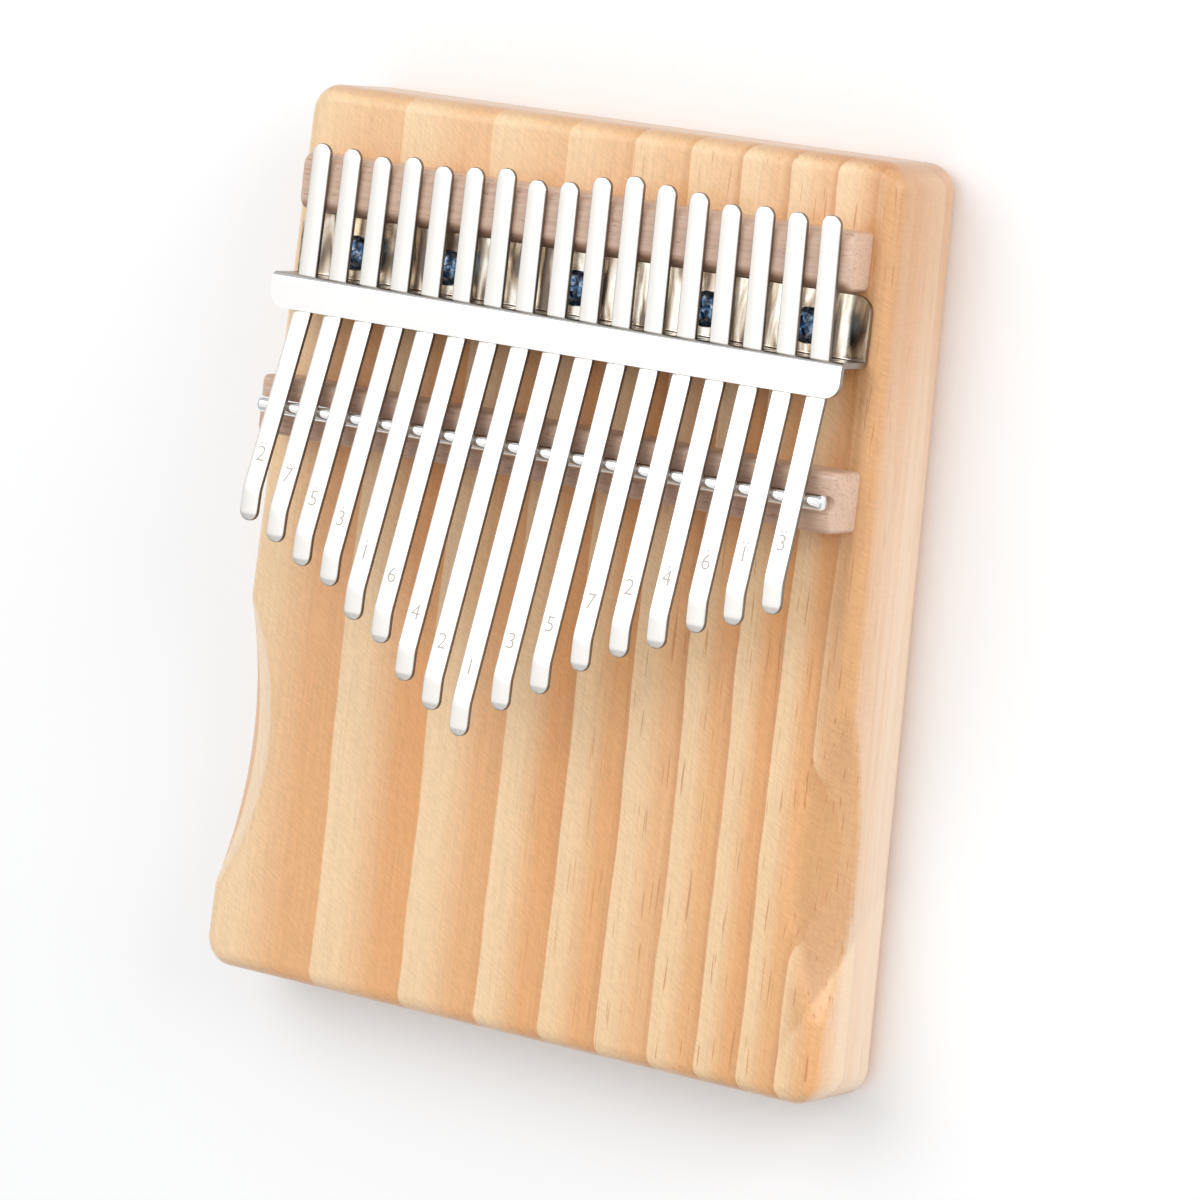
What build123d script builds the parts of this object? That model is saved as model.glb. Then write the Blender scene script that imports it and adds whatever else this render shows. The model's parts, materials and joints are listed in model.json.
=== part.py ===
from build123d import *
import math
import os

# Board lamellophone: seventeen steel tines on a solid wooden board.
# Frame: origin at the centre of the board's back face, +Z out of the playing face,
# +Y from the player's edge towards the rear bridge, +X to the right. Millimetres.

# ---- driving dimensions ----
board_length = 170.0
board_width_rear = 130.0
board_width_front = 138.6
board_thickness = 21.5
board_corner_radius = 5.5
board_edge_radius = 3.4

scoop_centre_y = -40.5
scoop_on_face = 10.2          # how far the scoop reaches in over the playing face
scoop_on_side = 8.0           # how far it reaches down the side
scoop_radius = 81.0

tine_count = 17
tine_pitch = 7.13             # spacing at the saddle rod
tine_fan = 0.2                # degrees each tine turns outwards per place from the middle
tine_skew = -0.6              # degrees the whole set of tines is turned
hardware_x = 0.5              # bridges, rod and tines sit this far right of the middle
tine_width = 4.0
tine_thickness = 1.0
tine_rise = 13.8              # degrees, from the pressure bar up to the tip
tine_tip_flat = 6.0           # the last stretch, bent level with the board
tine_bend = 5.0               # bend radius of the centre line
tine_tip_corner = 1.9
# free length of each tine in front of the rod, and how far it stands behind the rear bridge
tongue_lengths = [21.9, 24.9, 28.2, 30.8, 35.9, 39.0, 44.7, 48.8, 52.3,
                  46.4, 42.2, 36.9, 33.2, 30.4, 26.4, 23.9, 20.8]
tail_overhangs = [2.0, 1.8, 1.2, 1.9, 1.1, 1.7, 2.4, 1.1, 1.6,
                  3.3, 4.3, 3.6, 3.1, 1.9, 2.4, 2.2, 2.5]
flex_gap = 0.10               # gap between the clamped tail and the playing tongue
contact_gap = 0.02            # clearance wherever two parts only touch

rod_y = 24.4
rod_radius = 1.6
rod_height = 9.3              # axis above the playing face
rod_length = 124.8

front_bridge_length = 126.8
front_bridge_depth = 11.0
front_bridge_height = 8.3
rear_bridge_length = 120.6
rear_bridge_depth = 10.7
rear_bridge_y = 66.85
rear_bridge_height = 7.0
bridge_end_radius = 1.0
front_bridge_top_radius = 1.2
rear_bridge_top_radius = 2.4

bracket_length = 125.2
bracket_sheet = 1.0
bracket_web_y = 48.8
bracket_base_depth = 11.6
bracket_flange_depth = 6.6
bracket_underside = 7.75      # underside of the pressing flange above the playing face
bracket_corner = 3.0
window_width = 5.2
window_sill = 4.3             # bottom of each window above the playing face
window_corner = 0.8

screw_places = [-7.0, -4.0, 0.0, 4.0, 7.0]   # counted in tine spacings
screw_y = 54.4
screw_shank_radius = 1.4
screw_length = 12.0
screw_head_radius = 3.3
screw_head_height = 2.4
screw_point_length = 3.0
recess_length = 3.6
recess_width = 0.75
recess_depth = 1.5

# ---- places worked out from them ----
face_z = board_thickness
rise = math.radians(tine_rise)
rod_z = face_z + rod_height
# each tine bends at its mid-thickness where it rides over the rod
contact_reach = rod_radius + contact_gap + tine_thickness / 2
pivot_y = rod_y + contact_reach * math.sin(rise)
pivot_z = rod_z + contact_reach * math.cos(rise)
rear_bridge_back = rear_bridge_y + rear_bridge_depth / 2
web_back = bracket_web_y + bracket_sheet / 2
flange_front = web_back - bracket_flange_depth


def half_width(y):
    """Half the board's width at the height y."""
    share = (board_length / 2 - y) / board_length
    return (board_width_rear + (board_width_front - board_width_rear) * share) / 2


def place_number(index):
    """How many places a tine stands from the middle one, negative to the left."""
    return index - (tine_count - 1) / 2


def fan_angle(place):
    return tine_fan * place + tine_skew


def tine_x(place, y):
    """Where a tine's centre line crosses the given y."""
    return hardware_x + place * tine_pitch + (pivot_y - y) * math.tan(math.radians(fan_angle(place)))


def screw_x(place):
    return hardware_x + place * tine_pitch


def make_board():
    corners = [
        (-half_width(-board_length / 2), -board_length / 2),
        (half_width(-board_length / 2), -board_length / 2),
        (half_width(board_length / 2), board_length / 2),
        (-half_width(board_length / 2), board_length / 2),
    ]
    outline = Polyline(*corners, close=True)
    plan = fillet(make_face(outline).vertices(), board_corner_radius)
    board = extrude(plan, board_thickness)
    # a palm scoop runs along each playing edge in the front half
    slant = math.degrees(math.atan2(scoop_on_side, scoop_on_face))
    for side in (-1, 1):
        on_face_x = side * (half_width(scoop_centre_y) - scoop_on_face)
        lift = Vector(side * math.sin(math.radians(slant)), 0, math.cos(math.radians(slant)))
        centre = Vector(on_face_x, scoop_centre_y, board_thickness) + lift * scoop_radius
        cutter = Cylinder(scoop_radius, 60.0)
        board -= Pos(centre) * Rot(0, side * (90 + slant), 0) * cutter
    rims = board.edges().filter_by(lambda e: e.length > 1.0 and abs((e % 0.5).Z) < 0.995)
    return fillet(rims, board_edge_radius)


def make_block(length, depth, height, centre_y, top_radius):
    """A wooden bridge block, its long top edges and its ends rounded."""
    block = Pos(hardware_x, centre_y, face_z) * Box(
        length, depth, height, align=(Align.CENTER, Align.CENTER, Align.MIN))
    tops = block.edges().filter_by(Axis.X).group_by(Axis.Z)[-1]
    block = fillet(tops, top_radius)
    ends = block.faces().filter_by(Axis.X).edges().filter_by(
        lambda e: e.bounding_box().max.Z > face_z + 0.01)
    return fillet(ends, bridge_end_radius)


def make_rod():
    rod = Rot(0, 90, 0) * Cylinder(rod_radius, rod_length)
    rod = fillet(rod.edges().filter_by(GeomType.CIRCLE), rod_radius * 0.6)
    return Pos(hardware_x, rod_y, rod_z) * rod


def make_bracket():
    """Z-shaped pressed strip: base flange, web with a window per tine, pressing flange."""
    base_back = web_back + bracket_base_depth
    web_front = web_back - bracket_sheet
    low = face_z
    roof = face_z + bracket_underside
    outline = Polyline(
        (web_front, low), (base_back, low), (base_back, low + bracket_sheet),
        (web_back, low + bracket_sheet), (web_back, roof + bracket_sheet),
        (flange_front, roof + bracket_sheet), (flange_front, roof), (web_front, roof),
        close=True)
    section = make_face(Plane.YZ * outline)
    strip = extrude(section, bracket_length / 2, both=True)
    bends = strip.edges().filter_by(Axis.X)
    outer = bends.filter_by(lambda e: on_line(e, web_back, roof + bracket_sheet)
                            or on_line(e, web_front, low))
    inner = bends.filter_by(lambda e: on_line(e, web_back, low + bracket_sheet)
                            or on_line(e, web_front, roof))
    strip = fillet(outer, bracket_sheet * 1.2)
    strip = fillet(strip.edges().filter_by(Axis.X).filter_by(
        lambda e: any(on_line(e, i.center().Y, i.center().Z) for i in inner)), 0.3)
    # the flanges' free corners are rounded
    corners = strip.edges().filter_by(Axis.Z).filter_by(
        lambda e: abs(e.center().Y - flange_front) < 0.01 or abs(e.center().Y - base_back) < 0.01)
    strip = fillet(corners, bracket_corner)
    window_height = bracket_underside - window_sill
    for index in range(tine_count):
        x = tine_x(place_number(index), bracket_web_y)
        opening = Plane.XZ * RectangleRounded(window_width, window_height, window_corner)
        cutter = extrude(opening, bracket_sheet, both=True)
        strip -= Pos(x, bracket_web_y, face_z + window_sill + window_height / 2) * cutter
    for place in screw_places:
        hole = Cylinder(screw_shank_radius + contact_gap, 4 * bracket_sheet)
        strip -= Pos(screw_x(place), screw_y, face_z) * hole
    return strip


def on_line(edge, y, z):
    return abs(edge.center().Y - y) < 0.01 and abs(edge.center().Z - z) < 0.01


def make_screw(x):
    """Pan-head wood screw with a cross recess; its thread is hidden in the board."""
    under_head = face_z + bracket_sheet + contact_gap
    neck = under_head - screw_length + screw_point_length
    point = under_head - screw_length
    r = screw_head_radius
    h = screw_head_height
    side = Polyline((0, point), (screw_shank_radius, neck), (screw_shank_radius, under_head),
                    (r, under_head), (r, under_head + 0.4 * h))
    crown = ThreePointArc((r, under_head + 0.4 * h), (0.62 * r, under_head + 0.87 * h),
                          (0, under_head + h))
    stem = Line((0, under_head + h), (0, point))
    body = revolve(make_face(Plane.XZ * (side + crown + stem)), Axis.Z)
    for turn in (20, 110):
        slot = Box(recess_length, recess_width, 2 * recess_depth)
        body -= Pos(0, 0, under_head + h) * Rot(0, 0, turn) * slot
    return Pos(x, screw_y, 0) * body


def cut_for_screws(board):
    depth = screw_length
    for place in screw_places:
        hole = Cylinder(screw_shank_radius + contact_gap, depth,
                        align=(Align.CENTER, Align.CENTER, Align.MAX))
        board -= Pos(screw_x(place), screw_y, face_z) * hole
    return board


def strip_along(points):
    """Flat steel strip whose centre line follows the points, each a (y, z) pair."""
    path = FilletPolyline(*[(0, y, z) for y, z in points], radius=tine_bend)
    section = Plane(origin=path @ 0, x_dir=(1, 0, 0), z_dir=path % 0)
    return sweep(section * Rectangle(tine_width, tine_thickness), path)


def round_end(strip, y):
    """Rounds the two corners of the strip's end at the given y."""
    corners = strip.edges().filter_by(
        lambda e: abs(e.center().Y - y) < 0.15 and abs(e.length - tine_thickness) < 0.02)
    return fillet(corners, tine_tip_corner)


def fan_out(strip, place):
    """Moves a strip drawn about the pivot to its place and turns it outwards."""
    return Pos(tine_x(place, pivot_y), pivot_y, pivot_z) * Rot(0, 0, fan_angle(place)) * strip


def make_tail(index):
    """Clamped part of a tine: rear end, over the rear bridge, under the bar, up to the rod."""
    rear_y = rear_bridge_back + tail_overhangs[index] - pivot_y
    bar_y = flange_front + 0.2 - pivot_y
    bar_z = -bar_y * math.tan(rise)
    bridge_top = face_z + rear_bridge_height + contact_gap + tine_thickness / 2 - pivot_z
    bridge_y = rear_bridge_y - rear_bridge_depth / 2 + rear_bridge_top_radius - pivot_y
    slope = (bridge_top - bar_z) / (bridge_y - bar_y)
    rear_z = bar_z + slope * (rear_y - bar_y)
    stop = flex_gap / 2
    front = (stop * math.cos(rise), -stop * math.sin(rise))
    tail = strip_along([(rear_y, rear_z), (bar_y, bar_z), front])
    return fan_out(round_end(tail, rear_y), place_number(index))


def make_tongue(index):
    """Playing part of a tine: from the rod up to the tip, whose end is bent level."""
    length = tongue_lengths[index]
    knee = length - tine_tip_flat
    knee_z = knee * math.tan(rise)
    start = flex_gap / 2
    rear = (-start * math.cos(rise), start * math.sin(rise))
    tongue = strip_along([rear, (-knee, knee_z), (-length, knee_z)])
    return fan_out(round_end(tongue, -length), place_number(index))


parts = {}
parts["board"] = cut_for_screws(make_board())
parts["rear_bridge"] = make_block(
    rear_bridge_length, rear_bridge_depth, rear_bridge_height, rear_bridge_y, rear_bridge_top_radius)
groove = Rot(0, 90, 0) * Cylinder(rod_radius + contact_gap, front_bridge_length + 2)
front_block = make_block(
    front_bridge_length, front_bridge_depth, front_bridge_height, rod_y, front_bridge_top_radius)
parts["front_bridge"] = front_block - Pos(hardware_x, rod_y, rod_z) * groove
parts["saddle_rod"] = make_rod()
parts["pressure_bracket"] = make_bracket()
parts["bracket_screws"] = Compound(children=[make_screw(screw_x(place)) for place in screw_places])
for index in range(tine_count):
    parts[f"tine_{index + 1:02d}_tail"] = make_tail(index)
    parts[f"tine_{index + 1:02d}_tongue"] = make_tongue(index)

os.makedirs("parts", exist_ok=True)
for name, solid in parts.items():
    export_step(solid, f"parts/{name}.step")
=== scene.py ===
import json
import math

import bmesh
import bpy
from mathutils import Matrix, Vector


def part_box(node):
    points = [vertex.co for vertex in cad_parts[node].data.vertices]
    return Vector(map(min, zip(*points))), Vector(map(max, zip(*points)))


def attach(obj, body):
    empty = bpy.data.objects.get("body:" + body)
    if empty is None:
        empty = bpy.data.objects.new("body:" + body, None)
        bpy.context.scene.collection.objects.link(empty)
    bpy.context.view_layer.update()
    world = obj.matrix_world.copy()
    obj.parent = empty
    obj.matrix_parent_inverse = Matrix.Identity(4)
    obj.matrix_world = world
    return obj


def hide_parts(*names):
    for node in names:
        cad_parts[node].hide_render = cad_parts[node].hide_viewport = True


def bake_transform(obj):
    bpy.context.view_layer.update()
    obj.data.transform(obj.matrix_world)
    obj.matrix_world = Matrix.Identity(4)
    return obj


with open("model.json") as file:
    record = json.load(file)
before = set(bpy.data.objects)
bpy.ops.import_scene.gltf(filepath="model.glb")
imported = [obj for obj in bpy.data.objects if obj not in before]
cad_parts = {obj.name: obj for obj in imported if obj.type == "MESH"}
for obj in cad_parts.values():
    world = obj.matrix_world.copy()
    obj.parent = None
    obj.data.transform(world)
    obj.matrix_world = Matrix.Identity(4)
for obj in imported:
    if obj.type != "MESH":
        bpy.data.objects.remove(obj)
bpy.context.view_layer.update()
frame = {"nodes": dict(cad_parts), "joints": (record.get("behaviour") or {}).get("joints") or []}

# ---------------------------------------------------------------- sizes, in metres
MM = 0.001
TINE_COUNT = 17
TINE_WIDTH = 4.0 * MM
TINE_THICKNESS = 1.0 * MM
TINE_RISE = math.radians(13.8)
TINE_FLAT_END = 6.0 * MM
TINE_BEND = 5.0 * MM           # radius of its two bends
BEND_STEPS = 6                 # points along each bend
TINE_END_CORNER = 1.9 * MM
TINE_EDGE = 0.24 * MM          # rounding of the strip's long edges
TINE_STEP = 0.8 * MM           # spacing of the cross sections along a tine
TINE_END_STEPS = 9             # cross sections inside each rounded end
BRIDGE_CREST = 2.4 * MM        # how far behind its front face the rear bridge carries a tine
BAR_NIP = 0.2 * MM             # how far behind the bar's front edge a tine bends
CONTACT = 0.02 * MM

board_low, board_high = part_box("board")
FACE_Z = board_high.z

# the board's plan and its growth rings, in millimetres
BOARD_LENGTH = 170.0
BOARD_HALF_REAR = 65.0         # half the width at the rear end
BOARD_FLARE = 4.3              # how much wider each half is at the front end
RING_LEAN = -0.75              # sideways shift of the rings for each millimetre of depth
RING_SPREAD = -0.020           # how much they spread towards the player
RING_CENTRE = 10.0             # they spread away from this place
RING_SQUEEZE = 0.958           # scale and shift of x before the rings are laid out
RING_SHIFT = -4.9
RING_WANDER = 5.0              # slow waves along the rings
RING_RIPPLE = 1.5              # short waves along the rings
RING_SCALE = 95.0              # the rings narrow exponentially over this distance
RING_START = 0.616             # growth at which ring 0 begins
RING_RATE = 7.07               # rings for each unit of growth
SAPWOOD_SLANT = 0.0094         # pale sapwood crosses the front right corner along this slope
SAPWOOD_DIP = 0.0055           # and comes further back with depth
SAPWOOD_FROM = 1.510
SAPWOOD_TO = 1.528

HANDLING_WEAR = 0.35           # strength of smears and marks on polished metal
CREASE_ANGLE = math.radians(38)
TINE_SHARP_ANGLE = math.radians(50)
WELD_DISTANCE = 0.001 * MM


# ---------------------------------------------------------------- node materials
class Shader:
    """A node material with its Principled shader, and short calls to add nodes to it."""

    def __init__(self, name):
        self.material = bpy.data.materials.new(name)
        self.material.use_nodes = True
        self.tree = self.material.node_tree
        self.shader = self.tree.nodes["Principled BSDF"]
        self.place = self.add("ShaderNodeTexCoord").outputs["Object"]

    def add(self, kind, **settings):
        node = self.tree.nodes.new(kind)
        for key, value in settings.items():
            setattr(node, key, value)
        return node

    def feed(self, socket, value):
        if isinstance(value, bpy.types.NodeSocket):
            self.tree.links.new(value, socket)
        else:
            socket.default_value = value

    def math(self, operation, a, b=0.0, c=None, clamp=False):
        node = self.add("ShaderNodeMath", operation=operation, use_clamp=clamp)
        self.feed(node.inputs[0], a)
        self.feed(node.inputs[1], b)
        if c is not None:
            self.feed(node.inputs[2], c)
        return node.outputs[0]

    def stretched(self, x, y, z):
        node = self.add("ShaderNodeVectorMath", operation="MULTIPLY")
        self.feed(node.inputs[0], self.place)
        node.inputs[1].default_value = (x, y, z)
        return node.outputs[0]

    def noise(self, x, y, z, detail=2.0, rough=0.5, distort=0.0):
        """Noise whose cells are 1/x, 1/y and 1/z metres long."""
        node = self.add("ShaderNodeTexNoise")
        self.feed(node.inputs["Vector"], self.stretched(x, y, z))
        node.inputs["Scale"].default_value = 1.0
        node.inputs["Detail"].default_value = detail
        node.inputs["Roughness"].default_value = rough
        node.inputs["Distortion"].default_value = distort
        return node.outputs["Fac"]

    def ramp(self, value, *stops):
        node = self.add("ShaderNodeValToRGB")
        self.feed(node.inputs[0], value)
        points = node.color_ramp.elements
        while len(points) < len(stops):
            points.new(0.5)
        for point, (where, colour) in zip(points, stops):
            point.position = where
            point.color = (*colour, 1.0)
        return node.outputs[0]

    def between(self, value, low, high):
        """0 below low, 1 above high, smooth in between."""
        node = self.add("ShaderNodeMapRange", interpolation_type="SMOOTHSTEP")
        self.feed(node.inputs[0], value)
        node.inputs[1].default_value = low
        node.inputs[2].default_value = high
        return node.outputs[0]

    def mix(self, amount, a, b, kind="MIX"):
        node = self.add("ShaderNodeMix", data_type="RGBA", blend_type=kind)
        self.feed(node.inputs[0], amount)
        for socket, value in ((node.inputs[6], a), (node.inputs[7], b)):
            if isinstance(value, tuple) and len(value) == 3:
                value = (*value, 1.0)
            self.feed(socket, value)
        return node.outputs[2]

    def normal(self, axis):
        """One component of the surface normal."""
        split = self.add("ShaderNodeSeparateXYZ")
        self.feed(split.inputs[0], self.add("ShaderNodeNewGeometry").outputs["Normal"])
        return split.outputs[axis]

    def upright(self, low, high):
        """1 on surfaces that face sideways, 0 on those that face up or down."""
        level = self.between(self.math("ABSOLUTE", self.normal("Z")), low, high)
        return self.math("SUBTRACT", 1.0, level)

    def bump(self, height, distance, strength=1.0):
        node = self.add("ShaderNodeBump")
        node.inputs["Distance"].default_value = distance
        node.inputs["Strength"].default_value = strength
        self.feed(node.inputs["Height"], height)
        self.feed(self.shader.inputs["Normal"], node.outputs[0])

    def set(self, **values):
        for key, value in values.items():
            self.feed(self.shader.inputs[key.replace("_", " ")], value)


def grey(value):
    return (value, value, value)


def pine():
    """Varnished pine: growth rings that narrow to the right, fibres, resin streaks and fleck, with
    painted light and shade on the rear end, the scoop and the sides.
    """
    m = Shader("pine_varnished")
    axis = m.add("ShaderNodeSeparateXYZ")
    m.feed(axis.inputs[0], m.place)
    x, y, z = (m.math("DIVIDE", axis.outputs[k], MM) for k in range(3))
    # the rings lean to the right with depth and spread a little towards the player
    depth = m.math("SUBTRACT", FACE_Z / MM, z)
    forward = m.math("SUBTRACT", 0.5, m.math("DIVIDE", y, BOARD_LENGTH))
    spread = m.math("MULTIPLY", m.math("MULTIPLY", forward, m.math("ADD", x, -RING_CENTRE)), RING_SPREAD)
    wander = m.math("MULTIPLY", m.math("SUBTRACT", m.noise(12, 7, 30, 2.0), 0.5), RING_WANDER)
    ripple = m.math("MULTIPLY", m.math("SUBTRACT", m.noise(260, 28, 260, 3.0, 0.6), 0.5), RING_RIPPLE)
    across = m.math("MULTIPLY_ADD", depth, RING_LEAN, m.math("MULTIPLY_ADD", x, RING_SQUEEZE, RING_SHIFT))
    across = m.math("ADD", m.math("ADD", across, spread), m.math("ADD", wander, ripple))
    growth = m.math("EXPONENT", m.math("DIVIDE", across, RING_SCALE))
    ring = m.math("MULTIPLY", m.math("SUBTRACT", growth, RING_START), RING_RATE)
    part = m.math("FRACT", ring)
    which = m.add("ShaderNodeTexWhiteNoise", noise_dimensions="1D")
    m.feed(which.inputs["W"], m.math("FLOOR", ring))
    strength = m.math("MULTIPLY_ADD", which.outputs["Value"], 0.30, 0.75)

    cream = (0.900, 0.660, 0.405)
    straw = (0.850, 0.530, 0.265)
    amber = (0.765, 0.345, 0.120)
    late = m.ramp(part, (0.0, grey(0.30)), (0.02, grey(0.0)), (0.28, grey(0.14)),
                  (0.48, grey(0.55)), (0.68, grey(0.93)), (0.985, grey(1.0)))
    late = m.math("MULTIPLY", late, strength)
    # painted light: the rear end of the face is painted paler, its late wood lightened, standing in for
    # the stronger light that falls there
    rear = m.math("SUBTRACT", 1.0, m.between(forward, 0.06, 0.16))
    late = m.math("MULTIPLY", late, m.math("MULTIPLY_ADD", rear, -0.45, 1.0))
    colour = m.mix(late, cream, amber)
    # towards the right each ring also closes with a thin brown line
    line = m.math("MULTIPLY", m.between(part, 0.80, 0.97), m.between(x, -25.0, 30.0))
    colour = m.mix(m.math("MULTIPLY", line, 0.60), colour, (0.560, 0.245, 0.090))
    # a darker belt along the right edge, widest where the scoop cuts into it
    from_edge = m.math("SUBTRACT", x, m.math("MULTIPLY_ADD", forward, BOARD_FLARE, BOARD_HALF_REAR))
    scooped = m.math("MULTIPLY", m.between(depth, 0.2, 2.5), m.between(x, 40.0, 50.0))
    belt = m.math("MAXIMUM", m.between(from_edge, -9.0, -4.0), scooped)
    # it stops at pale sapwood, which runs slantwise across the front right corner
    slanted = m.math("MULTIPLY_ADD", x, SAPWOOD_SLANT, forward)
    slanted = m.math("MULTIPLY_ADD", depth, SAPWOOD_DIP, slanted)
    sapwood = m.between(slanted, SAPWOOD_FROM, SAPWOOD_TO)
    heart = m.math("SUBTRACT", 1.0, sapwood)
    belt = m.math("MULTIPLY", belt, m.math("MULTIPLY_ADD", m.between(depth, 4.0, 16.0), -0.45, 1.0))
    belt = m.math("MULTIPLY", belt, heart)
    colour = m.mix(m.math("MULTIPLY", belt, 0.80), colour, (0.640, 0.300, 0.115))
    # painted shade: the scoop is painted darker brown, most towards the front, where it faces away from
    # the light
    scoop_painted_shade = m.math("MULTIPLY_ADD", m.between(forward, 0.70, 0.84), 0.40, 0.25)
    scooped = m.math("MULTIPLY", scooped, heart)
    colour = m.mix(m.math("MULTIPLY", scooped, scoop_painted_shade), colour, (0.440, 0.180, 0.060))
    cloud = m.between(m.noise(22, 9, 22, 3.0), 0.35, 0.7)
    colour = m.mix(m.math("MULTIPLY", cloud, 0.35), colour, straw)
    # fine fibres along the board
    fibre = m.noise(2100, 42, 2100, 4.0, 0.7)
    fibre_shade = m.ramp(fibre, (0.30, grey(0.87)), (0.55, grey(1.0)), (0.8, grey(1.04)))
    colour = m.mix(0.75, colour, fibre_shade, "MULTIPLY")
    # silky cross fleck
    slant = m.add("ShaderNodeMapping")
    m.feed(slant.inputs["Vector"], m.place)
    slant.vector_type = "TEXTURE"
    slant.inputs["Rotation"].default_value = (0, 0, math.radians(-35))
    slant.inputs["Scale"].default_value = (2.0 * MM, 0.45 * MM, 2.0 * MM)
    dash = m.add("ShaderNodeTexNoise")
    m.feed(dash.inputs["Vector"], slant.outputs[0])
    dash.inputs["Scale"].default_value = 1.0
    dash.inputs["Detail"].default_value = 3.0
    fleck = m.ramp(dash.outputs["Fac"], (0.36, grey(0.93)), (0.62, grey(1.04)))
    colour = m.mix(0.9, colour, fleck, "MULTIPLY")
    # short resin streaks, more of them towards the right
    streak = m.between(m.noise(1900, 85, 1900, 1.0, 0.4), 0.665, 0.73)
    where = m.between(x, -15.0, 40.0)
    streak = m.math("MULTIPLY", streak, m.math("MULTIPLY_ADD", where, 0.62, 0.06))
    colour = m.mix(streak, colour, (0.50, 0.19, 0.06))
    # painted sheen: the sides are painted paler than the face, more so low down, to the front and in long
    # stripes, standing in for a glancing white sheen
    side_painted_sheen = m.math("MULTIPLY_ADD", m.between(depth, 1.5, 16.0), 0.50, 0.30)
    sheen_stripe = m.between(m.noise(650, 7, 650, 3.0, 0.6), 0.30, 0.66)
    side_painted_sheen = m.math("MULTIPLY", side_painted_sheen, m.math("MULTIPLY_ADD", sheen_stripe, 0.30, 0.72))
    side_painted_sheen = m.math("MULTIPLY", side_painted_sheen, m.math("MULTIPLY_ADD", m.between(forward, 0.0, 0.45), 0.60, 0.40))
    side = m.upright(0.05, 0.62)
    colour = m.mix(m.math("MULTIPLY", side, side_painted_sheen), colour, (0.860, 0.735, 0.610))
    # painted shade: the sides are also painted browner, most towards the rear
    shaded = m.math("MULTIPLY_ADD", m.between(forward, 0.0, 0.5), -0.20, 0.32)
    colour = m.mix(m.math("MULTIPLY", side, shaded), colour, (0.520, 0.290, 0.150))
    # end grain drinks more varnish and is browner
    end_grain = m.between(m.math("ABSOLUTE", m.normal("Y")), 0.45, 0.90)
    colour = m.mix(m.math("MULTIPLY", end_grain, 0.55), colour, (0.480, 0.245, 0.120))
    rough = m.math("MULTIPLY_ADD", fibre, 0.16, 0.30)
    m.set(Base_Color=colour, Roughness=rough, Coat_Weight=0.40, Coat_Roughness=0.14,
          IOR=1.48, Specular_IOR_Level=0.45)
    relief = m.math("ADD", m.math("MULTIPLY", fibre, 0.6), m.math("MULTIPLY", late, 0.5))
    m.bump(relief, 0.06 * MM, 0.5)
    return m.material


def beech(name, shift, front_shade_amount):
    """Beech with its grain along the block, short dark ray flecks and painted shade on the side towards
    the player.
    """
    m = Shader(name)
    fibre = m.noise(35, 1500 + shift, 1500, 4.0, 0.7)
    base = m.ramp(fibre, (0.25, (0.510, 0.325, 0.232)), (0.5, (0.650, 0.440, 0.324)),
                  (0.8, (0.725, 0.530, 0.415)))
    band = m.ramp(m.noise(9, 240 + shift, 240, 2.0), (0.35, grey(0.88)), (0.7, grey(1.04)))
    colour = m.mix(0.8, base, band, "MULTIPLY")
    ray = m.between(m.noise(420, 2600, 1900, 1.0, 0.4), 0.66, 0.72)
    colour = m.mix(m.math("MULTIPLY", ray, 0.55), colour, (0.36, 0.185, 0.10))
    # painted shade: the side towards the player is painted browner, standing in for the shade it lies in
    # below the bar and tines
    front = m.between(m.math("MULTIPLY", m.normal("Y"), -1.0), 0.10, 0.75)
    colour = m.mix(m.math("MULTIPLY", front, front_shade_amount), colour, (0.30, 0.150, 0.085))
    m.set(Base_Color=colour, Roughness=m.math("MULTIPLY_ADD", fibre, 0.20, 0.36),
          Coat_Weight=0.22, Coat_Roughness=0.25)
    m.bump(m.math("ADD", fibre, m.math("MULTIPLY", ray, -0.6)), 0.05 * MM, 0.5)
    return m.material


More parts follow.
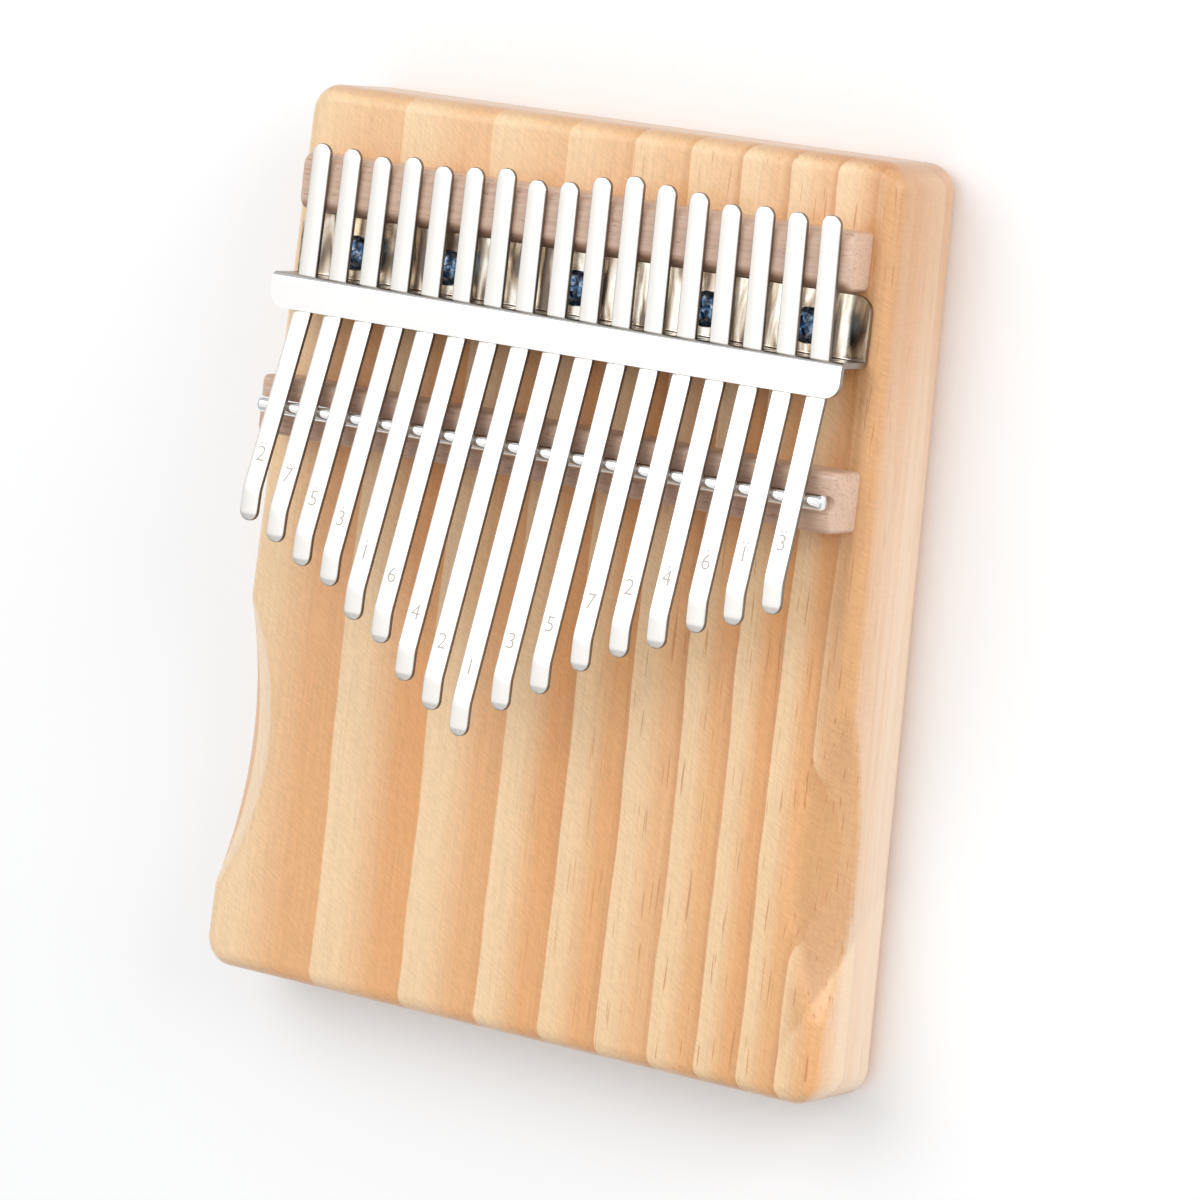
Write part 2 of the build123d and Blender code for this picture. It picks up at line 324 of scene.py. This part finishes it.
def polished(name, tint, rough, lines, edge=0.0, painted_reflection=False, painted_tail_reflection=False):
    """Plated steel: fine polishing lines, faint smears and a few handling marks, with painted reflection
    and painted shade where asked.
    """
    m = Shader(name)
    brush = m.noise(*lines, detail=3.0, rough=0.65)
    smear = m.between(m.noise(120, 60, 120, 3.0, 0.6, 0.5), 0.42, 0.72)
    spot = m.between(m.noise(900, 900, 900, 2.0), 0.66, 0.74)
    dull = m.math("MULTIPLY_ADD", smear, 0.10 * HANDLING_WEAR, rough)
    dull = m.math("ADD", dull, m.math("MULTIPLY", brush, 0.07))
    dull = m.math("ADD", dull, m.math("MULTIPLY", spot, 0.10 * HANDLING_WEAR))
    worn = tuple(c * 0.90 for c in tint)
    colour = m.mix(m.math("MULTIPLY", smear, 0.5 * HANDLING_WEAR), tint, worn)
    if painted_reflection:
        # painted reflection: low down, under the tines, the plating is painted in long streaks of dark
        # brown, wood brown and pale cream, standing in for the wood and dark gaps it mirrors
        axis = m.add("ShaderNodeSeparateXYZ")
        m.feed(axis.inputs[0], m.place)
        low = m.math("SUBTRACT", 1.0, m.between(axis.outputs["Z"], FACE_Z + 1.6 * MM, FACE_Z + 3.5 * MM))
        streak = m.ramp(m.noise(330, 70, 70, 2.0, 0.5, 0.8), (0.43, (0.12, 0.075, 0.045)),
                        (0.51, (0.50, 0.38, 0.26)), (0.62, (0.97, 0.92, 0.82)))
        colour = m.mix(m.math("MULTIPLY", low, 0.92), colour, streak)
    if painted_tail_reflection:
        # painted reflection: the tails lean away from the light, and their colour is painted duller and
        # warmer, standing in for the stretch of room they mirror
        tail = m.between(m.math("MULTIPLY", m.normal("Y"), -1.0), 0.02, 0.08)
        tail_reflection_tone = m.mix(brush, (0.56, 0.535, 0.505), (0.70, 0.67, 0.635))
        colour = m.mix(tail, colour, tail_reflection_tone)
    # painted reflection and painted shade: the sides and cut edges are painted dark brown, standing in
    # for the wood they mirror and the shade beside them; they are also rougher than the rolled faces
    side = m.upright(0.45, 0.88)
    colour = m.mix(m.math("MULTIPLY", side, edge), colour, (0.17, 0.13, 0.095))
    dull = m.math("MULTIPLY_ADD", side, 0.25 * edge, dull)
    m.set(Base_Color=colour, Metallic=1.0, Roughness=dull)
    m.bump(brush, 0.004 * MM, 0.35)
    return m.material


def zinc():
    """Blue passivated zinc with a slight rainbow cast and dull, grainy patches."""
    m = Shader("screw_blue_zinc")
    cast = m.noise(1100, 1100, 1300, 3.0, 0.6, 0.6)
    hue = m.ramp(cast, (0.34, (0.03, 0.07, 0.15)), (0.5, (0.13, 0.24, 0.42)),
                 (0.66, (0.62, 0.74, 0.88)))
    grain = m.noise(5200, 5200, 5200, 2.0)
    m.set(Base_Color=hue, Metallic=1.0, Roughness=m.math("MULTIPLY_ADD", grain, 0.22, 0.22))
    m.bump(grain, 0.03 * MM, 0.5)
    return m.material


def etched():
    """The laser-marked numbers: a matt frosting a little darker than the tine."""
    m = Shader("etched_number")
    grain = m.noise(9000, 9000, 9000, 2.0)
    colour = m.ramp(grain, (0.3, (0.46, 0.42, 0.37)), (0.7, (0.60, 0.56, 0.50)))
    m.set(Base_Color=colour, Metallic=0.10, Roughness=m.math("MULTIPLY_ADD", grain, 0.2, 0.5))
    m.bump(grain, 0.01 * MM, 0.4)
    return m.material


def paint(node, material):
    """Gives a CAD node its material and smooth shading with crisp edges."""
    piece = frame["nodes"][node]
    piece.data.materials.clear()
    piece.data.materials.append(material)
    for face in piece.data.polygons:
        face.use_smooth = True
    weld = piece.modifiers.new("weld", "WELD")
    weld.merge_threshold = WELD_DISTANCE
    crease = piece.modifiers.new("crease", "EDGE_SPLIT")
    crease.split_angle = CREASE_ANGLE
    crease.use_edge_sharp = False
    # large flat faces keep their own normal, so roundovers shade without a gradient beside them
    shade = piece.modifiers.new("shade", "WEIGHTED_NORMAL")
    shade.weight = 100


nickel = (0.93, 0.905, 0.865)
tine_steel = polished("tine_nickel", nickel, 0.17, (1500, 60, 1500), edge=0.85, painted_tail_reflection=True)
paint("board", pine())
paint("rear_bridge", beech("beech_rear", 0, 0.75))
paint("front_bridge", beech("beech_front", 130, 0.20))
paint("saddle_rod", polished("rod_chrome", (0.88, 0.88, 0.88), 0.07, (60, 2500, 2500)))
paint("pressure_bracket", polished("bracket_nickel", (1.0, 0.99, 0.975), 0.09, (40, 1800, 1800),
                                   edge=0.8, painted_reflection=True))
paint("bracket_screws", zinc())


# ---------------------------------------------------------------- tines
def rounded_path(corners, radius):
    """Points along a polyline whose inner corners are arcs; each point is (along, up)."""
    points = [Vector(corners[0])]
    for before, corner, after in zip(corners, corners[1:], corners[2:]):
        back = (Vector(before) - Vector(corner)).normalized()
        ahead = (Vector(after) - Vector(corner)).normalized()
        turn = math.pi - back.angle(ahead)
        reach = radius * math.tan(turn / 2)
        start = Vector(corner) + back * reach
        end = Vector(corner) + ahead * reach
        for k in range(BEND_STEPS + 1):
            t = k / BEND_STEPS
            # a quadratic curve follows so shallow an arc to within a few micrometres
            a = start.lerp(Vector(corner), t)
            b = Vector(corner).lerp(end, t)
            points.append(a.lerp(b, t))
    points.append(Vector(corners[-1]))
    return points


def stations(points, spacing, end_zone):
    """Even stations along the path, closer together inside the two end zones."""
    lengths = [0.0]
    for a, b in zip(points, points[1:]):
        lengths.append(lengths[-1] + (b - a).length)
    total = lengths[-1]
    close = [end_zone * (1 - math.cos(math.pi / 2 * k / TINE_END_STEPS))
             for k in range(TINE_END_STEPS + 1)]
    middle = int((total - 2 * end_zone) / spacing)
    step = (total - 2 * end_zone) / middle
    marks = close + [end_zone + step * k for k in range(1, middle)]
    marks += [total - mark for mark in reversed(close)]
    found = []
    for mark in marks:
        k = 0
        while k < len(lengths) - 2 and lengths[k + 1] < mark:
            k += 1
        share = (mark - lengths[k]) / (lengths[k + 1] - lengths[k])
        found.append((points[k].lerp(points[k + 1], share), min(mark, total - mark)))
    return found


def end_shrink(distance, radius):
    """How much a half size is pulled in at this distance from a rounded end."""
    if distance >= radius:
        return 0.0
    return radius - math.sqrt(radius ** 2 - (radius - distance) ** 2)


def strip_ring(half_width, half_thick, edge):
    """Cross section of the strip, its four long edges rounded."""
    ring = []
    for quarter, (sx, sz) in enumerate(((1, 1), (-1, 1), (-1, -1), (1, -1))):
        for k in range(4):
            angle = math.pi / 2 * (quarter + k / 3)
            ring.append((sx * (half_width - edge) + edge * math.cos(angle),
                         sz * (half_thick - edge) + edge * math.sin(angle)))
    return ring


def tine_frame(joint):
    """The pivot, the direction across the tine and the level direction towards its tip."""
    across = Vector(joint["axis"]).normalized()
    return Vector(joint["pos_m"]), across, Vector((across.y, -across.x, 0))


def make_tine(number, joint):
    name = f"tine_{number:02d}"
    pivot, across, ahead = tine_frame(joint)
    fan = math.cos(math.atan2(across.y, across.x))
    rear = (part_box(name + "_tail")[1].y - pivot.y) / fan
    length = (pivot.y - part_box(name + "_tongue")[0].y) / fan
    bar = -(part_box("pressure_bracket")[0].y + BAR_NIP - pivot.y)
    bar_up = bar * math.tan(TINE_RISE)
    bridge_low, bridge_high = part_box("rear_bridge")
    crest = pivot.y - (bridge_low.y + BRIDGE_CREST)
    crest_up = bridge_high.z + CONTACT + TINE_THICKNESS / 2 - pivot.z
    slope = (crest_up - bar_up) / (crest - bar)
    knee = length - TINE_FLAT_END
    knee_up = knee * math.tan(TINE_RISE)
    corners = [(-rear, bar_up + slope * (-rear - bar)), (bar, bar_up), (knee, knee_up), (length, knee_up)]
    path = rounded_path(corners, TINE_BEND)

    mesh = bmesh.new()
    rings = []
    places = stations(path, TINE_STEP, TINE_END_CORNER)
    for k, (point, from_end) in enumerate(places):
        before = places[max(k - 1, 0)][0]
        after = places[min(k + 1, len(places) - 1)][0]
        run = (after - before).normalized()
        up = Vector((0, 0, 1)) * run.x - ahead * run.y
        middle = pivot + ahead * point.x + Vector((0, 0, 1)) * point.y
        half_width = TINE_WIDTH / 2 - end_shrink(from_end, TINE_END_CORNER)
        half_thick = TINE_THICKNESS / 2 - end_shrink(from_end, TINE_EDGE)
        edge = min(TINE_EDGE, half_thick * 0.95)
        rings.append([mesh.verts.new(middle + across * u + up * v)
                      for u, v in strip_ring(half_width, half_thick, edge)])
    count = len(rings[0])
    for one, two in zip(rings, rings[1:]):
        for k in range(count):
            mesh.faces.new((one[k], one[(k + 1) % count], two[(k + 1) % count], two[k]))
    mesh.faces.new(list(reversed(rings[0])))
    mesh.faces.new(rings[-1])
    bmesh.ops.recalc_face_normals(mesh, faces=mesh.faces)
    data = bpy.data.meshes.new(name)
    mesh.to_mesh(data)
    mesh.free()
    for face in data.polygons:
        face.use_smooth = True
    data.set_sharp_from_angle(angle=TINE_SHARP_ANGLE)
    data.materials.append(tine_steel)
    tine = bpy.data.objects.new(name, data)
    bpy.context.collection.objects.link(tine)
    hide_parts(name + "_tail", name + "_tongue")
    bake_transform(tine)
    return knee / math.cos(TINE_RISE)


# each tine's scale number and how many octave dots stand over it, left to right
NUMBERS = ["2:", "7.", "5.", "3.", "1.", "6", "4", "2", "1", "3", "5", "7", "2.", "4.", "6.", "1:", "3:"]
DIGIT_HEIGHT = 3.0 * MM
DOT_RADIUS = 0.22 * MM
DOT_SPACING = 4.2 * DOT_RADIUS
DOT_SEGMENTS = 14
CAP_HEIGHT = 0.7               # a digit's height as a share of the font size
MARK_DEPTH = 0.035 * MM
MARK_BACK = 6.6 * MM           # from the knee of the tine back to the number


def make_number(number, joint, knee_along, material):
    """The etched scale number near a tine's tip, with its octave dots, as one thin mesh."""
    mark = NUMBERS[number - 1]
    pivot, across, ahead = tine_frame(joint)
    up_strip = ahead * math.cos(TINE_RISE) + Vector((0, 0, math.sin(TINE_RISE)))
    out = across.cross(-up_strip)
    text = bpy.data.curves.new("digit", "FONT")
    text.body = mark[0]
    text.size = DIGIT_HEIGHT / CAP_HEIGHT
    text.align_x = "CENTER"
    text.align_y = "CENTER"
    text.extrude = MARK_DEPTH
    text.resolution_u = 4
    shape = bpy.data.objects.new("digit", text)
    bpy.context.collection.objects.link(shape)
    mesh = bmesh.new()
    mesh.from_mesh(shape.evaluated_get(bpy.context.evaluated_depsgraph_get()).to_mesh())
    bpy.data.objects.remove(shape)
    dots = {".": 1, ":": 2}.get(mark[1:], 0)
    for k in range(dots):
        side = (k - (dots - 1) / 2) * DOT_SPACING
        where = Matrix.Translation((side, DIGIT_HEIGHT * 0.5 + 3 * DOT_RADIUS, 0))
        bmesh.ops.create_cone(mesh, cap_ends=True, segments=DOT_SEGMENTS, radius1=DOT_RADIUS,
                              radius2=DOT_RADIUS, depth=2 * MARK_DEPTH, matrix=where)
    middle = pivot + up_strip * (knee_along - MARK_BACK) + out * (TINE_THICKNESS / 2)
    turn = Matrix((across, -up_strip, out)).transposed().to_4x4()
    mesh.transform(Matrix.Translation(middle) @ turn)
    data = bpy.data.meshes.new(f"number_{number:02d}")
    mesh.to_mesh(data)
    mesh.free()
    data.materials.append(material)
    piece = bpy.data.objects.new(f"number_{number:02d}", data)
    bpy.context.collection.objects.link(piece)
    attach(piece, f"tine_{number:02d}")


joints = {joint["child"]: joint for joint in frame["joints"]}
number_ink = etched()
for number in range(1, TINE_COUNT + 1):
    hinge = joints[f"tine_{number:02d}"]
    knee_along = make_tine(number, hinge)
    make_number(number, hinge, knee_along, number_ink)


# ---------------------------------------------------------------- floor, light and camera
FLOOR_HALF_SIZE = 3.0
FLOOR_GAP = 0.2 * MM


def make_floor():
    mesh = bmesh.new()
    bmesh.ops.create_grid(mesh, x_segments=8, y_segments=8, size=FLOOR_HALF_SIZE)
    data = bpy.data.meshes.new("floor")
    mesh.to_mesh(data)
    mesh.free()
    floor = bpy.data.objects.new("floor", data)
    floor.location.z = board_low.z - FLOOR_GAP
    bpy.context.collection.objects.link(floor)
    m = Shader("pale_floor")
    tone = m.ramp(m.noise(3, 3, 3, 2.0), (0.3, (0.965, 0.972, 0.982)), (0.7, (0.975, 0.982, 0.990)))
    m.set(Base_Color=tone, Roughness=0.85)
    data.materials.append(m.material)


def make_light(name, place, aim, size, power):
    data = bpy.data.lights.new(name, "AREA")
    data.shape = "DISK"
    data.size = size
    data.energy = power
    lamp = bpy.data.objects.new(name, data)
    lamp.location = place
    lamp.rotation_euler = (Vector(aim) - Vector(place)).to_track_quat("-Z", "Y").to_euler()
    bpy.context.collection.objects.link(lamp)


KEY_PLACE = (-0.34, 0.38, 0.84)
FILL_PLACE = (0.90, 0.42, 0.36)
LIGHT_AIM = (0, 0, 0.02)
EVEN_LIGHT = 0.69              # what everything but mirrors receives from all sides
WORLD_STRENGTH = 1.02
# what polished metal mirrors, from the horizon up to the zenith
MIRROR_BANDS = ((0.0, 0.75), (0.10, 0.25), (0.26, 0.72), (0.46, 0.50), (0.70, 0.95))


def make_world():
    """A white studio: bright above, greyer low down so that the metal has something to mirror."""
    world = bpy.data.worlds.new("studio")
    bpy.context.scene.world = world
    world.use_nodes = True
    tree = world.node_tree
    coord = tree.nodes.new("ShaderNodeTexCoord")
    split = tree.nodes.new("ShaderNodeSeparateXYZ")
    ramp = tree.nodes.new("ShaderNodeValToRGB")
    tree.links.new(coord.outputs["Generated"], split.inputs[0])
    tree.links.new(split.outputs["Z"], ramp.inputs[0])
    bands = ramp.color_ramp.elements
    while len(bands) < len(MIRROR_BANDS):
        bands.new(0.5)
    for band, (height, tone) in zip(bands, MIRROR_BANDS):
        band.position = height
        band.color = (tone, tone, tone, 1)
    # mirrors see the gradient, everything else is lit by an even white
    path = tree.nodes.new("ShaderNodeLightPath")
    seen = tree.nodes.new("ShaderNodeMix")
    seen.data_type = "RGBA"
    seen.inputs[6].default_value = (EVEN_LIGHT, EVEN_LIGHT, EVEN_LIGHT, 1)
    tree.links.new(path.outputs["Is Glossy Ray"], seen.inputs[0])
    tree.links.new(ramp.outputs[0], seen.inputs[7])
    tree.links.new(seen.outputs[2], tree.nodes["Background"].inputs[0])
    tree.nodes["Background"].inputs[1].default_value = WORLD_STRENGTH


CAMERA_AZIMUTH = math.radians(12.75)     # from +X towards +Y
CAMERA_ELEVATION = math.radians(56.65)
CAMERA_ROLL = math.radians(94.19)
CAMERA_DISTANCE = 1.0518
CAMERA_LENS = 172.9
CAMERA_AIM = Vector((0.0127, -0.0013, 0.0220))


def make_camera():
    back = Vector((math.cos(CAMERA_AZIMUTH) * math.cos(CAMERA_ELEVATION),
                   math.sin(CAMERA_AZIMUTH) * math.cos(CAMERA_ELEVATION),
                   math.sin(CAMERA_ELEVATION)))
    level = (-back).cross(Vector((0, 0, 1))).normalized()
    upright = level.cross(-back)
    up = upright * math.cos(CAMERA_ROLL) + level * math.sin(CAMERA_ROLL)
    right = (-back).cross(up)
    data = bpy.data.cameras.new("camera")
    data.lens = CAMERA_LENS
    data.sensor_width = 36.0
    data.clip_start = 0.01
    camera = bpy.data.objects.new("camera", data)
    turn = Matrix((right, up, back)).transposed().to_4x4()
    camera.matrix_world = Matrix.Translation(CAMERA_AIM + back * CAMERA_DISTANCE) @ turn
    bpy.context.collection.objects.link(camera)
    bpy.context.scene.camera = camera


make_floor()
make_world()
make_light("key", KEY_PLACE, LIGHT_AIM, 0.85, 3.2)
make_light("fill", FILL_PLACE, LIGHT_AIM, 0.80, 4.3)
make_camera()
bpy.context.scene.view_settings.view_transform = "Standard"
